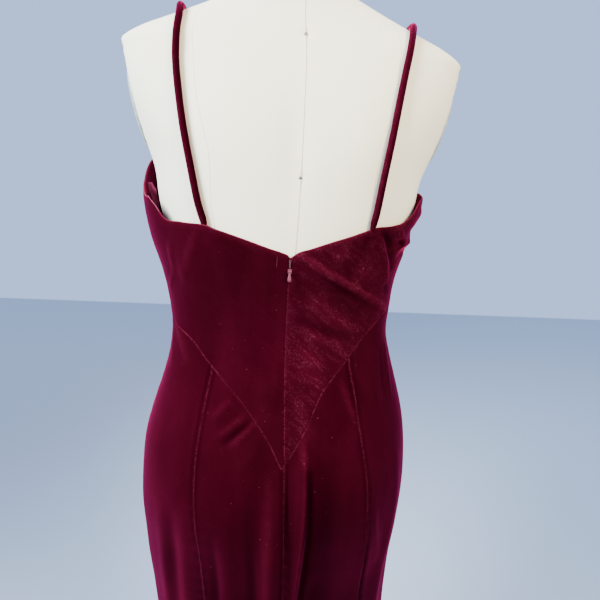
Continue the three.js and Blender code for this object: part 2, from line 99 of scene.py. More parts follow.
# %% The body's sections
FORM = table(
    "height half back front",
    [760, 157, 112, 110], [785, 161.5, 117, 112], [820, 164.5, 122, 113], [860, 166, 123, 113],
    [900, 163.5, 117, 111], [940, 156.5, 106, 107], [980, 145, 93, 102], [1010, 137, 84, 98],
    [1040, 130.5, 80, 96], [1075, 131.5, 82.5, 99], [1110, 135, 88.5, 107.5],
    [1150, 146, 95, 119], [1190, 156, 99.5, 127], [1235, 163.5, 101, 121], [1265, 177, 98, 106],
    [1300, 193, 91.5, 93], [1330, 202, 83, 80], [1352, 204, 75.5, 69.5], [1368, 203, 69.5, 62],
    [1380, 185, 65, 57], [1392, 156, 61, 53], [1404, 126, 58, 51], [1416, 96, 56, 51],
    [1428, 68, 54, 52], [1440, 56, 50, 54], [1462, 52, 44, 56], [1500, 50, 40, 58],
)
GOWN = table(
    "height left right back front",
    [8, 393, 393, 366, 338], [100, 339, 339, 306, 285], [200, 284, 284, 245, 232],
    [300, 233, 233, 191, 184], [380, 198, 199, 155, 151], [440, 177, 179, 133, 131],
    [500, 162, 165, 118, 118], [550, 156.5, 159, 111, 112], [600, 154, 158, 109, 110],
    [650, 155.5, 158.5, 110, 111], [700, 161.5, 158.5, 113, 113], [740, 167.5, 160.5, 117, 114.5],
    [780, 171, 166, 122.5, 116.5], [820, 175, 169.5, 127, 117.5], [860, 175, 171, 127.5, 117.5],
    [900, 171.5, 169, 121.5, 115.5], [940, 161.5, 162.5, 110.5, 111.5],
    [980, 149.7, 151.7, 97.5, 106.5], [1010, 142.7, 142.7, 88.5, 102.5],
    [1040, 140.5, 135.5, 84.5, 100.5], [1075, 145, 137, 87, 103.5], [1110, 153, 140.5, 93, 112],
    [1150, 166.5, 151.5, 100, 124.5], [1180, 173.5, 161.5, 104, 132],
    [1210, 177, 168, 106.5, 132], [1250, 180.5, 173, 107, 124], [1300, 183, 178, 106, 108],
)
ROUNDINGS = [  # turn, height, out, turn spread, height spread
    (145, 1192, 15, 19, 42),  # bust
    (180, 1192, -7, 16, 45),  # between the cups
    (33, 862, 5, 20, 60),  # seat
    (0, 862, -3, 10, 50),
    (40, 1262, 5, 20, 50),  # shoulder blades
    (0, 1240, -3, 10, 60),
]
SECTION_POWER = 2.25
ARM_LOW, ARM_HALF_LOW = 1240, 164
ARM_HIGH, ARM_HALF_HIGH = 1352, 192.5


def section(rows, turn, height):
    """Radius of a level section at a turn."""
    t = np.radians(turn)
    depth = np.where(np.cos(t) > 0, *(read(rows, c, height) for c in ("back", "front")))
    sides = ("left", "right") if "left" in rows else ("half", "half")
    half = np.where(np.sin(t) > 0, *(read(rows, c, height) for c in sides))
    across = np.abs(np.sin(t)) / half
    along = np.abs(np.cos(t)) / depth
    return (across**SECTION_POWER + along**SECTION_POWER) ** (-1 / SECTION_POWER)


def rounding(turn, height):
    """The cups, the seat and the shoulder blades, which level sections leave out."""
    a = np.abs(signed(turn))
    return sum(
        out * np.exp(-(((a - at) / wide) ** 2) - ((height - level) / tall) ** 2)
        for at, level, out, wide, tall in ROUNDINGS
    )


def form_radius(turn, height):
    """The dress form, with its armholes cut off flat."""
    radius = section(FORM, turn, height) + rounding(turn, height)
    share = (height - ARM_LOW) / (ARM_HIGH - ARM_LOW)
    flat = ARM_HALF_LOW + (ARM_HALF_HIGH - ARM_HALF_LOW) * share
    across = np.maximum(np.abs(np.sin(np.radians(turn))), 0.1)
    return np.where(height < ARM_LOW, radius, np.minimum(radius, flat / across))


def girth(surface, level):
    """Length of a tape laid level round a surface."""
    turn = np.arange(360.0)
    return round(np.sum(surface(turn, np.full_like(turn, level))) * math.radians(1))


print("the form's waist is about", girth(form_radius, 1040), "mm")

# %% [markdown]
# ## Flutes, folds and creases
#
# Below the knee the panels widen, and the spare cloth hangs in flutes. They are one cosine round
# the hem whose depth grows towards the floor and differs from flute to flute. Folds higher up
# come from the weight of the skirt and from the pull of the seams. Each is a soft ridge laid
# along a line on the cloth, with its own height and width, which is easier to steer than a
# cloth simulation and always gives the same gown.

# %% Flutes
FLUTES = 12
FLUTE_OUT = 24
FLUTE_START = 650
FLUTE_GROWTH = 1.6
FLUTE_UNEVEN = 0.2  # share of the depth that differs from flute to flute
FLUTE_DRIFT = 0.5  # how far the flutes stray from even spacing
HEM = 8


def flute(turn, height):
    """How far the hem's waves stand out."""
    t = np.radians(turn)
    grown = np.clip((FLUTE_START - height) / (FLUTE_START - HEM), 0, 1) ** FLUTE_GROWTH
    uneven = 1 - FLUTE_UNEVEN + FLUTE_UNEVEN * np.cos(3 * t + 0.7)
    return FLUTE_OUT * grown * uneven * np.cos(FLUTES * t + FLUTE_DRIFT * np.sin(2 * t + 1))


print(FLUTES, "flutes, up to", FLUTE_OUT, "mm deep")

# %% Folds
FOLDS = [  # from turn, from height, to turn, to height, out, spread
    # drapes on the left of the skirt
    (56, 850, 60, 560, 3.5, 9), (43, 850, 47, 560, 3, 9), (25.5, 860, 27, 560, 3.5, 10),
    (6, 870, 4, 560, 3, 8),
    # the ridge right of centre back, with its valley
    (-12.5, 925, -9, 560, 5, 9), (-20.5, 770, -22, 540, -3, 7),
    # drapes on the right
    (-44, 900, -50, 560, 3, 7), (-62, 860, -60, 560, 3, 10),
    # pulls across the right of the back bodice
    (-9, 1120, -66, 1075, 2.5, 9), (-14, 1066, -56, 1044, 2, 8), (-74, 1180, -60, 1130, 2, 7),
    # pinched under the right arm
    (-92, 1176, -66, 1164, -3, 7), (-90, 1196, -68, 1186, 2.5, 7),
    # and a little under the left
    (62, 1140, 60, 1090, 1.5, 7),
    # drapes on the front
    (120, 840, 118, 560, 3, 10), (152, 840, 153, 560, 3, 10), (184, 830, 186, 560, 3.5, 10),
    (214, 840, 213, 560, 3, 10), (244, 840, 246, 560, 3, 10),
]
print(len(FOLDS), "folds")

# %% [markdown]
# Creases are the same kind of ridge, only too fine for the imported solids: the cloth bunches under
# the right arm, pulls across the back bodice and puckers beside the point of the basque.

# %% Creases
CREASES = [  # the same columns, then out and spread of the painted highlight or painted shade where the pile is bent too
    # crisp crease under the right strap
    (-47.4, 1170, -66, 1108, 3, 3.2, 0.8, 2.2), (-52, 1168, -67, 1122, -2.8, 4),
    # bunching at the right underarm
    (-59, 1174, -66.5, 1157, 2.4, 3.6, 0.6, 3), (-63, 1161, -67, 1152, -2.8, 3, -1, 3.4),
    (-84, 1158, -63, 1150.5, 2.8, 3.6), (-84, 1147, -67, 1143, -2.2, 4),
    (-66, 1192, -62, 1176, -1.4, 4),
    # where the straps are sewn in
    (41.5, 1178, 40, 1146, 1.6, 5), (-43, 1184, -42, 1150, 1.6, 5),
    # pulls across the right of the back bodice
    (-3, 1140, -72, 1073, 3, 3.7, 1.9, 3), (-9, 1116, -50, 1088, -1.4, 7),
    (-12, 1091, -52, 1049, 1.6, 7, 0.8, 9), (-6, 1066, -40, 1040, -1.2, 6),
    (-9, 1056, -44, 1030, 1.3, 6, 0.8, 7), (-7, 1032, -28, 1009, 1.2, 5),
    (-10, 1000, -20, 985, 1, 5), (-36, 1140, -58, 1128, 1, 6),
    # the left of the back bodice
    (49, 1162, 62.5, 1104, 1.5, 4.6, 0.6, 4), (64.6, 1148, 67.6, 1107, 1.7, 3, 0.8, 2.2),
    (67, 1112, 76, 1084, 1.5, 3, 0.6, 2.4), (42, 1158, 46, 1136, 0.8, 5),
    # ripples under the basque seam
    (75, 1052, 60, 1000, 1.4, 5, 0.5, 5), (80, 1040, 72, 990, 1.1, 6),
    # puckers beside the point of the basque
    (28.5, 922, 14, 956, 2.2, 4.2, 0.7, 4), (36, 931, 21, 960, 1.9, 4.2, 0.6, 4),
    (32.5, 925, 17.5, 955, -1.6, 3.4, -0.8, 3), (40, 948, 32, 974, 1.8, 4.6, 0.6, 4.4),
    (22, 900, 10, 930, 1.4, 5),
    # the right of the skirt, under the basque seam
    (-30, 965, -42, 930, 0.9, 6), (-46, 1000, -41, 950, 1.2, 4), (-75, 1034, -66, 960, 1.6, 3),
    (-68, 1030, -60, 955, -1.4, 3.4), (-45, 850, -56, 760, 1.6, 5),
    # the sharp edge right of centre back, and its valley
    (-12.4, 938, -8.2, 620, 3, 3.4, 1.2, 2.2), (-15.6, 934, -11.2, 620, -3, 4.5),
    # cloth that sinks in beside the centre back seam
    (-2, 900, -6, 640, -2.2, 2.6),
    # drapes down the skirt
    (-43.5, 870, -52, 640, -2.4, 3.2), (57, 835, 69, 560, 0.8, 10),
    (50.5, 845, 59, 600, -1.4, 7, -0.5, 5), (44, 862, 53, 560, 1.8, 8, 0.3, 7),
    (31, 840, 33, 600, -2.6, 6, -0.6, 6), (24.5, 862, 23, 560, 2, 7, 0.3, 6),
    (14.5, 890, 10, 600, -3, 6), (5.5, 915, -0.5, 640, 2.6, 8), (-33, 800, -34, 480, 1.8, 8),
    (-63, 930, -62, 640, 1.6, 7), (-76, 800, -74, 470, 1.5, 8),
    # the front, a little strained at the waist
    (98, 1060, 112, 1030, 0.9, 7), (118, 1120, 138, 1085, 0.8, 7), (262, 1060, 248, 1030, 0.9, 7),
    (242, 1116, 222, 1088, 0.8, 7), (168, 1010, 192, 1004, 0.8, 6), (136, 780, 134, 470, 1.6, 8),
    (168, 800, 167, 470, 1.8, 8), (200, 790, 201, 480, 1.6, 8), (229, 780, 230, 470, 1.6, 8),
]
print(len(CREASES), "creases")

# %% [markdown]
# Pile that was brushed or bent looks lighter or darker along lines of its own, so the nap has
# ridges too: painted highlights and painted shade. Painted shade also darkens the skirt towards
# the hem, where less of the lamps' light falls.

# %% Nap, painted highlight and painted shade
NAP_AND_PAINTED_LIGHT = [  # the same columns: painted highlight above 0, where the pile lies towards the light, and painted shade below 0, where it lies away from it
    # the crushed right of the back bodice
    (-4, 1134, -70, 1067, -0.5, 4), (-1, 1143, -30, 1113, 1.1, 4), (-22, 1146, -36, 1140, 0.6, 8),
    (-9, 1112, -46, 1092, -0.3, 8), (-40, 1130, -56, 1112, 0.6, 14),
    (-6, 1066, -36, 1044, -0.5, 6), (-7, 1033, -28, 1009, 0.9, 6), (-8, 985, -16, 925, 0.45, 9),
    (-10, 1010, -26, 990, 0.4, 7), (-37, 1000, -43, 930, 0.7, 4), (-10, 935, -14, 900, 1, 6),
    # under the right strap and arm
    (-64, 1106, -70, 1092, -1.2, 4), (-49, 1170, -60, 1150, -1, 5),
    (-56, 1150, -68, 1120, -0.7, 4), (-78, 1206, -66, 1180, 0.6, 5),
    # the left of the back bodice
    (82, 1160, 74, 1080, -0.6, 11),
    # down the skirt
    (6, 905, 6, 640, 1, 7), (62, 840, 72, 600, -1.2, 22), (-5.4, 900, -7.4, 640, -0.5, 3.4),
    (-14.8, 934, -10, 620, -1.3, 5), (-21, 920, -22, 640, -0.9, 15),
    (-2.6, 900, -6.4, 640, -1, 2.4), (-43.5, 868, -53, 640, -0.9, 3),
    (14.5, 880, 10, 600, -0.5, 10),
    # beside the open end of the zip
    (0, 1140, -0.3, 1112, -1, 2.6),
]
# painted shade: the colour darkens down the skirt towards the hem; a lean below 0 is darker
SKIRT_PAINTED_SHADE = table(
    "height lean",
    [8, -0.2], [350, -0.4], [560, -0.75], [700, -0.8], [780, -0.4], [860, -0.1], [930, 0],
    [1300, 0],
)
NAP_AND_PAINTED_LIGHT += [(*row[:4], *row[6:]) for row in CREASES if len(row) > 6]
print(len(NAP_AND_PAINTED_LIGHT), "strokes in the nap")

# %% [markdown]
# One helper adds up any of these lists. It measures along the cloth, with turns made into
# millimetres at a common radius. A few long waves come on top, because cloth is never even.

# %% The gown's surface
FOLD_RADIUS = 125
# how far out, the run of one radian round and up the body, and the start
WAVES = [(0.22, 13.7, 31, 1.3), (0.18, 21.3, -17.9, 0), (0.12, 7.9, 49, 2.1)]


def ridges(rows, turn, height):
    """The sum of soft ridges, each along its own line on the cloth."""
    out = np.zeros_like(turn)
    for turn0, height0, turn1, height1, tall, spread, *_ in rows:
        du, dv = math.radians(turn1 - turn0) * FOLD_RADIUS, height1 - height0
        u, v = np.radians(signed(turn - turn0)) * FOLD_RADIUS, height - height0
        t = np.clip((u * du + v * dv) / (du * du + dv * dv), 0, 1)
        off = np.hypot(u - t * du, v - t * dv) / spread
        out += tall * np.sin(np.pi * t) ** 0.7 * np.exp(-off * off)
    return out


def unevenness(turn, height):
    """Long, low waves at odd angles."""
    u = np.radians(turn) * FOLD_RADIUS
    return sum(out * np.sin(u / across + height / up + start) for out, across, up, start in WAVES)


def gown_radius(turn, height):
    """The outside of the gown."""
    body = section(GOWN, turn, height) + rounding(turn, height) + flute(turn, height)
    fine = ridges(CREASES, turn, height) + unevenness(turn, height)
    return body + ridges(FOLDS, turn, height) + fine


print("the gown's waist is about", girth(gown_radius, 1040), "mm")

# %% [markdown]
# ## Where the seams lie
#
# A princess seam is a long seam that runs over the fullest part of the body, so that the cloth
# fits without darts. A basque seam is pointed: here it dips to the middle of the seat at the back.

# %% Seams and edges
SEAMS = table(
    "height back princess_l side_l front_l front_r side_r princess_r end",
    [8, -3, 41, 88, 143, 217, 272, 314, 357], [600, -4, 39, 88, 143, 217, 272, 313, 356],
    [740, -4.3, 38.5, 88, 143, 217, 272, 311.5, 355.7],
    [860, -2, 39.5, 88, 143, 217, 272, 318, 358], [930, -1, 43.3, 87, 144, 216, 273, 317.5, 359],
    [1010, 0, 47, 86, 145, 215, 274, 315.7, 360], [1270, 0, 47, 86, 145, 215, 274, 315.7, 360],
)
TOP_EDGE = table(
    "turn left right",
    [0, 1134, 1134], [1.2, 1136.5, 1135.5], [4, 1138.7, 1139.2], [13, 1143.2, 1145],
    [26, 1151, 1154], [37, 1158, 1162], [46, 1164.5, 1170.3], [58, 1167, 1175],
    [66, 1171.5, 1182.5], [69.5, 1183.5, 1192], [73, 1191.3, 1202], [78, 1195, 1209.5],
    [84, 1204, 1214], [88, 1215, 1217], [94, 1231.5, 1221], [102, 1249, 1230], [120, 1258, 1246],
    [135, 1260, 1257], [146, 1263, 1263], [153, 1254, 1254], [162, 1228, 1228], [171, 1196, 1196],
    [180, 1162, 1162],
)
BASQUE = table(
    "turn left right",
    [0, 902, 902], [7, 928, 924], [13, 944, 943], [23, 965, 977], [34, 984, 1000],
    [42, 997, 1015], [52, 1013, 1036], [60, 1029, 1052], [69, 1040, 1066], [80, 1048, 1074],
    [92, 1051, 1076], [130, 1058, 1066], [180, 1060, 1060],
)


def edge_height(rows, turn):
    """Height of the top edge or the basque seam at a turn."""
    side = signed(turn)
    both = (read(rows, name, np.abs(side)) for name in ("right", "left"))
    return np.where(side < 0, *both)


def top_edge(turn):
    """The neckline and the armholes."""
    return edge_height(TOP_EDGE, turn)


def basque(turn):
    """The pointed seam between bodice and skirt."""
    return edge_height(BASQUE, turn)


def hem_edge(turn):
    """The hem, level with the floor."""
    return np.full_like(turn, float(HEM))


print("the basque's point is", basque(np.array([0.0]))[0], "mm above the floor")

# %% [markdown]
# ## Velvet
#
# Velvet is a short upright pile. Looked at straight on it swallows light, and along its edge the
# fibres catch it, which a Principled shader gives with its sheen. Its colour is built up in
# layers, each a share and a tint: soft bands and a little lint, which are the cloth's own, then
# painted shade and painted highlights where the pile lies away from the light or towards it,
# painted glints where it was crushed, and a painted highlight along the seams and the top edge,
# beaded and uneven, where the pile turns edge-on to the light. Point attributes on each panel say
# how near a seam or the top edge is and where the painted light and shade lie, and the shader
# reads them.


# %% Material helpers
def material(name, colour, roughness, metallic=0.0, grain=None):
    """A material; its grain is the scale, strength and distance of a fine bump."""
    mat = bpy.data.materials.new(name)
    mat.use_nodes = True
    inputs = shader(mat).inputs
    inputs["Base Color"].default_value = (*colour, 1)
    inputs["Roughness"].default_value = roughness
    inputs["Metallic"].default_value = metallic
    if grain:
        scale, strength, distance = grain
        bump(mat, noise(mat, scale, 2), strength, distance)
    return mat


def shader(mat):
    """The material's Principled shader."""
    return mat.node_tree.nodes["Principled BSDF"]


def plug(mat, value, socket):
    """Gives a socket its value: another node's output, a colour or a number."""
    if isinstance(value, bpy.types.NodeSocket):
        mat.node_tree.links.new(value, socket)
    else:
        socket.default_value = (*value, 1) if isinstance(value, tuple) else value


def node(mat, kind, output, inputs, **settings):
    """The output of a new node, with its settings and its inputs."""
    made = mat.node_tree.nodes.new("ShaderNode" + kind)
    for key, value in settings.items():
        setattr(made, key, value)
    for socket, value in inputs.items():
        plug(mat, value, made.inputs[socket])
    return made.outputs[output]


def noise(mat, scale, detail=3.0, stretch=(1, 1, 1), lean=0.0):
    """Noise in the piece's own place, in metres; a lean turns its grain about the Y axis."""
    turned = Vector((0, math.radians(lean), 0))
    inputs = {"Vector": node(mat, "TexCoord", "Object", {}), "Scale": Vector(stretch)}
    kind = "TEXTURE" if lean else "POINT"
    place = node(mat, "Mapping", "Vector", {**inputs, "Rotation": turned}, vector_type=kind)
    return node(mat, "TexNoise", "Fac", {"Vector": place, "Scale": scale, "Detail": detail})


def ramp(mat, value, low, high):
    """Sharpens a value between two limits to the range 0 to 1."""
    return node(mat, "MapRange", "Result", {"Value": value, "From Min": low, "From Max": high})


def blend(mat, share, first, second):
    """Mixes two colours, or a colour into what another blend gives."""
    return node(mat, "Mix", 2, {"Factor": share, 6: first, 7: second}, data_type="RGBA")


def times(mat, first, second):
    """The product of two values."""
    return node(mat, "Math", 0, {0: first, 1: second}, operation="MULTIPLY")


def attribute(mat, name):
    """A value that the mesh carries at its vertices."""
    return node(mat, "Attribute", "Fac", {}, attribute_name=name)


def bump(mat, height, strength, distance):
    """Gives the material's shader a bump from a height."""
    inputs = {"Height": height, "Strength": strength, "Distance": distance}
    plug(mat, node(mat, "Bump", "Normal", inputs), shader(mat).inputs["Normal"])


# %% Velvet
PILE_DARK = (0.0125, 0.0003, 0.0016)
PILE_MID = (0.0195, 0.0004, 0.0027)
# a lighter tone of the pile, also the tint of the painted highlights
PILE_LIGHT = (0.038, 0.0017, 0.006)
PAINTED_GLINT = (0.11, 0.015, 0.031)
PILE_LINT = (0.16, 0.03, 0.05)
SEAM_HIGHLIGHT = (0.095, 0.01, 0.02)
RIM_HIGHLIGHT = (0.4, 0.03, 0.09)
PILE_SHADE = (0.004, 0.0, 0.0006)
PATTERNS = {  # limits that sharpen it, then the noise: scale, detail, stretch and lean in degrees
    "clouds": (0.3, 0.7, 9, 3),
    "bands": (0.42, 0.72, 34, 4, (1, 1, 0.14)),  # along the drop of the cloth
    "soft": (0.18, 0.7, 45, 4),
    "speckle": (0.5, 0.61, 720, 2),
    "streaks": (0.4, 0.58, 240, 2, (6, 1, 1), -38),  # the way the crushed pile was brushed
    "lint": (0.865, 0.89, 420, 0),
    # patches along which the painted seam highlight comes and goes
    "uneven_seam_light": (0.2, 0.6, 70, 3),
    "beads": (0.35, 0.6, 560, 1),
}
BAND_SHARE = 0.26
RIDGE_HIGHLIGHT_SHARE = 0.8
LIFTED_AND_LIT_SHARE = 0.35  # painted highlight where the pile lies towards the light, and as much again where all the pile is crushed
PAINTED_GLINT_SHARE = 0.78
LINT_SHARE = 0.4
SEAM_HIGHLIGHT_SHARE = 0.7
RIM_HIGHLIGHT_SHARE = 0.22


def pattern(mat, name):
    """One of the velvet's patterns, as a share."""
    low, high, *field = PATTERNS[name]
    return ramp(mat, noise(mat, *field), low, high)


def velvet(name, crushed, sheen=0.58):
    """Velvet with a share of its pile crushed, with painted glints where it was brushed."""
    mat = material(name, PILE_MID, 0.9, grain=(1400, 0.35, 0.0006))
    nap_and_painted_light = attribute(mat, "nap_and_painted_light")
    brushed_and_lit = times(mat, ramp(mat, nap_and_painted_light, -0.5 * crushed, 0.9), pattern(mat, "soft"))
    speckle = times(mat, pattern(mat, "speckle"), pattern(mat, "streaks"))
    uneven_seam_light = times(mat, pattern(mat, "uneven_seam_light"), pattern(mat, "beads"))
    seam = times(mat, attribute(mat, "seam"), uneven_seam_light)
    # bands and lint are the cloth's own tone; the other layers are painted highlight, painted shade
    # and painted glints
    layers = [
        (times(mat, pattern(mat, "bands"), BAND_SHARE), PILE_LIGHT),
        (ramp(mat, nap_and_painted_light, 0, -1), PILE_SHADE),
        (times(mat, ramp(mat, nap_and_painted_light, 0.1, 1.5), RIDGE_HIGHLIGHT_SHARE), PILE_LIGHT),
        (times(mat, brushed_and_lit, LIFTED_AND_LIT_SHARE + LIFTED_AND_LIT_SHARE * crushed), PILE_LIGHT),
        (times(mat, times(mat, brushed_and_lit, speckle), PAINTED_GLINT_SHARE * crushed), PAINTED_GLINT),
        (times(mat, pattern(mat, "lint"), LINT_SHARE), PILE_LINT),
        (times(mat, seam, SEAM_HIGHLIGHT_SHARE), SEAM_HIGHLIGHT),
        (times(mat, attribute(mat, "rim_highlight"), RIM_HIGHLIGHT_SHARE), RIM_HIGHLIGHT),
    ]
    colour = blend(mat, pattern(mat, "clouds"), PILE_DARK, PILE_MID)
    for share, tint in layers:
        colour = blend(mat, share, colour, tint)
    inputs = shader(mat).inputs
    plug(mat, colour, inputs["Base Color"])
    inputs["Specular IOR Level"].default_value = 0.0
    inputs["Sheen Weight"].default_value = sheen
    inputs["Sheen Roughness"].default_value = 0.34
    inputs["Sheen Tint"].default_value = (1.0, 0.05, 0.24, 1)
    return mat


VELVET = velvet("velvet", 0.25)
VELVET_BRUSHED = velvet("velvet_brushed", 1.0)
VELVET_SKIRT = velvet("velvet_skirt", 0.25, 0.43)
print("velvet", VELVET.name, VELVET_BRUSHED.name, VELVET_SKIRT.name)

# %% [markdown]
# The right half of the back bodice has been crushed, and its colour carries more painted
# highlight and speckled painted glints. The two skirt panels beside the centre back hang with
# their pile laid flatter, which leaves less sheen.
#
# ## One helper for every panel
#
# A panel begins as a flat grid, a bmesh operator's own. Its columns run between two seams and
# its rows from one edge to another, closer together near the edges, where the cloth rolls in to
# the seam allowance. Each vertex is then moved to its place on the body. The turn and the height
# of a vertex depend on each other, because the seams lean, and a few rounds settle both. The
# solidify operator then gives the cloth its thickness inwards.

# %% Grid and finishing helpers
EDGE_STEPS = np.array([0, 0.45, 1.0, 1.7, 2.8])  # the first rows in from an edge


def spaced(length, step, grow=0.0):
    """Shares of a length, close together at both ends, and wider apart towards its end."""
    inner = length - 2 * EDGE_STEPS[-1]
    count = max(2, round(inner / step))
    t = np.linspace(0, 1, count + 1)[1:-1]
    middle = EDGE_STEPS[-1] + inner * t * (1 - grow + grow * t)
    return np.concatenate([EDGE_STEPS, middle, (length - EDGE_STEPS)[::-1]]) / length


def unit_grid(columns, rows):
    """A grid whose vertices lie at the given shares, x across and y down."""
    bm = bmesh.new()
    across, down = len(columns) - 1, len(rows) - 1
    bmesh.ops.create_grid(bm, x_segments=across, y_segments=down, size=0.5)
    co = np.array([v.co for v in bm.verts]) + 0.5
    u = np.array(columns)[np.rint(co[:, 0] * across).astype(int)]
    v = np.array(rows)[np.rint(co[:, 1] * down).astype(int)]
    return bm, u, v


def around(turn, height, radius):
    """Places in millimetres at a turn, height and radius."""
    t = np.radians(turn)
    return np.stack([radius * np.sin(t), radius * np.cos(t), height], 1)


def move_to(bm, turn, height, radius):
    """Puts each vertex at its turn, height and radius."""
    for vertex, place in zip(bm.verts, around(turn, height, radius) * MM):
        vertex.co = place


def store(bm, name, values):
    """Keeps values at the vertices, for the shader to read."""
    layer = bm.verts.layers.float.new(name)
    for vertex, value in zip(bm.verts, values):
        vertex[layer] = value


def add_object(name, data):
    """An object in the scene."""
    obj = bpy.data.objects.new(name, data)
    bpy.context.scene.collection.objects.link(obj)
    return obj


def mesh_object(name, bm, mat):
    """An object in the scene from a bmesh."""
    mesh = bpy.data.meshes.new(name)
    bm.to_mesh(mesh)
    bm.free()
    mesh.materials.append(mat)
    return add_object(name, mesh)


def finish_piece(name, bm, mat, *nodes, body=GOWN_BODY, sharp=50):
    """A smooth object that stands for its CAD nodes and rides on a body."""
    obj = mesh_object(name, bm, mat)
    obj.data.shade_smooth()
    obj.data.set_sharp_from_angle(angle=math.radians(sharp))
    if nodes:
        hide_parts(*nodes)
    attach(obj, body)
    return obj


# %% Places on a panel
SETTLE_ROUNDS = 24


def fade(distance, reach):
    """1 at a line and close to 0 beyond its reach."""
    return np.exp(-((distance / reach) ** 2))


def settle(u, v, seams, top, bottom, middle):
    """Turn and height of each vertex, and the panel's width in degrees there."""
    height = np.full_like(u, middle)
    for _ in range(SETTLE_ROUNDS):
        from_turn, to_turn = (read(SEAMS, seam, height) for seam in seams)
        turn = from_turn + (to_turn - from_turn) * u
        height = top(turn) + (bottom(turn) - top(turn)) * v
    return turn, height, to_turn - from_turn


def from_edge(edge, turn, height, radius):
    """Distance to an edge, straight across the cloth."""
    lean = (edge(turn + 0.5) - edge(turn - 0.5)) / (np.radians(1) * radius)
    return np.abs(height - edge(turn)) / np.hypot(1, lean)


# %% Panel helper
CLOTH = 1.4 * MM
BODICE_MIDDLE, SKIRT_MIDDLE = 1060.0, 700.0  # the levels that the rounds start from
GIRTH_RADIUS = 150  # a mean one, which gives the number of columns
BODICE_ROWS, SKIRT_ROWS = 1.1, 1.9  # rows stand this much further apart than columns
SKIRT_GROWTH = 0.5  # and still further towards the hem
ROLL = 1.6  # how far from a seam the cloth starts to roll in, in millimetres
ROLL_DEPTH = 0.9
TOP_ROLL = 5.5  # the top edge rolls in over a wider band
TOP_ROLL_DEPTH = 1.1
PUCKER, PUCKER_REACH = 0.25, 7  # the cloth beside a seam is gathered a little
PUCKER_LENGTH, PUCKER_DRIFT = 2.6, 23
SEAM_LINE = 0.6  # half the width of the painted highlight that a seam or an edge draws
TOP_EDGE_HIGHLIGHT = 0.5  # painted highlight along the rolled top edge
SEAM_SHADE = 0.5  # and darker beside the long seams


def panel(name, left, right, zone, mat):
    """A velvet panel between two seams and two edges, and its paper pattern's size."""
    top, bottom, step = zone
    long = bottom is hem_edge
    open_top = top is top_edge
    middle = SKIRT_MIDDLE if long else BODICE_MIDDLE
    ends = [read(SEAMS, seam, np.array([middle]))[0] for seam in (left, right)]
    width = math.radians(ends[1] - ends[0]) * GIRTH_RADIUS
    turns = np.linspace(*ends, 5)
    length = float(np.max(top(turns) - bottom(turns)))
    row_step = step * (SKIRT_ROWS if long else BODICE_ROWS)
    rows = spaced(length, row_step, SKIRT_GROWTH if long else 0)
    bm, u, v = unit_grid(spaced(width, step), rows)
    turn, height, wide = settle(u, v, (left, right), top, bottom, middle)
    radius = gown_radius(turn, height)
    arc = np.radians(wide) * radius
    seams = np.minimum(u, 1 - u) * arc
    above, below = (from_edge(edge, turn, height, radius) for edge in (top, bottom))
    near = np.minimum(seams, np.minimum(above, below))
    radius = radius - ROLL_DEPTH * np.clip(1 - near / ROLL, 0, 1) ** 2
    # painted highlight and painted shade along the folds, and painted shade down the skirt
    nap_and_painted_light = ridges(NAP_AND_PAINTED_LIGHT, turn, height) + read(SKIRT_PAINTED_SHADE, "lean", height)
    if open_top:
        radius = radius - TOP_ROLL_DEPTH * np.clip(1 - above / TOP_ROLL, 0, 1) ** 2
        nap_and_painted_light += TOP_EDGE_HIGHLIGHT * fade(above, TOP_ROLL)
    if long:
        nap_and_painted_light -= SEAM_SHADE * fade(seams - 2 * ROLL, ROLL)
    gathers = np.sin(height / PUCKER_LENGTH + 2 * np.sin(height / PUCKER_DRIFT))
    move_to(bm, turn, height, radius + PUCKER * np.exp(-seams / PUCKER_REACH) * gathers)
    # painted highlight along the seams and edges, where the pile turns edge-on
    store(bm, "seam", fade(near, SEAM_LINE))
    # painted highlight along the rim of the top edge
    store(bm, "rim_highlight", fade(above, SEAM_LINE) * open_top)
    store(bm, "nap_and_painted_light", nap_and_painted_light)
    bmesh.ops.recalc_face_normals(bm, faces=bm.faces)
    if bm.faces[0].normal.dot(bm.faces[0].calc_center_median() * Vector((1, 1, 0))) < 0:
        bmesh.ops.reverse_faces(bm, faces=bm.faces)
    covered = sum(face.calc_area() for face in bm.faces)
    drop = float(np.max((top(turn) - bottom(turn))))
    bmesh.ops.solidify(bm, geom=bm.faces, thickness=CLOTH)
    obj = finish_piece(f"{name}_velvet", bm, mat, name)
    shown = (round(float(arc.max()) * MM, 3), round(drop * MM, 3), round(covered, 4))
    print(name, len(obj.data.polygons), "faces, width, length and area", *shown)


# %% [markdown]
# ## The nine panels
#
# The back shows closest, so its panels get the smallest step. The size of each flat cut is the
# widest and the longest that the paper pattern measures, and the area is what the piece covers
# once the corners are cut away.

# %% Back bodice
BODICE = (top_edge, basque, 2.5)  # upper edge, lower edge and the step between columns
SKIRT = (basque, hem_edge, 2.5)
FRONT = (top_edge, hem_edge, 4)
panel("bodice_back_left", "back", "side_l", BODICE, VELVET)
panel("bodice_back_right", "side_r", "end", BODICE, VELVET_BRUSHED)

# %% Skirt panels at the back
panel("skirt_back_left", "back", "princess_l", SKIRT, VELVET_SKIRT)
panel("skirt_back_right", "princess_r", "end", SKIRT, VELVET_SKIRT)
panel("side_back_left", "princess_l", "side_l", SKIRT, VELVET)
panel("side_back_right", "side_r", "princess_r", SKIRT, VELVET)

# %% Front panels
panel("front_side_left", "side_l", "front_l", FRONT, VELVET)
panel("front_side_right", "front_r", "side_r", FRONT, VELVET)
panel("front_centre", "front_l", "front_r", FRONT, VELVET)

# %% [markdown]
# ## Straps
#
# A spaghetti strap is a bias strip sewn into a tube and turned right side out. It lies round and
# firm over the shoulder. A ring is extruded from place to place along the strap's line, and each
# new ring is turned to face along the line, which is what a person does with extrude and rotate.

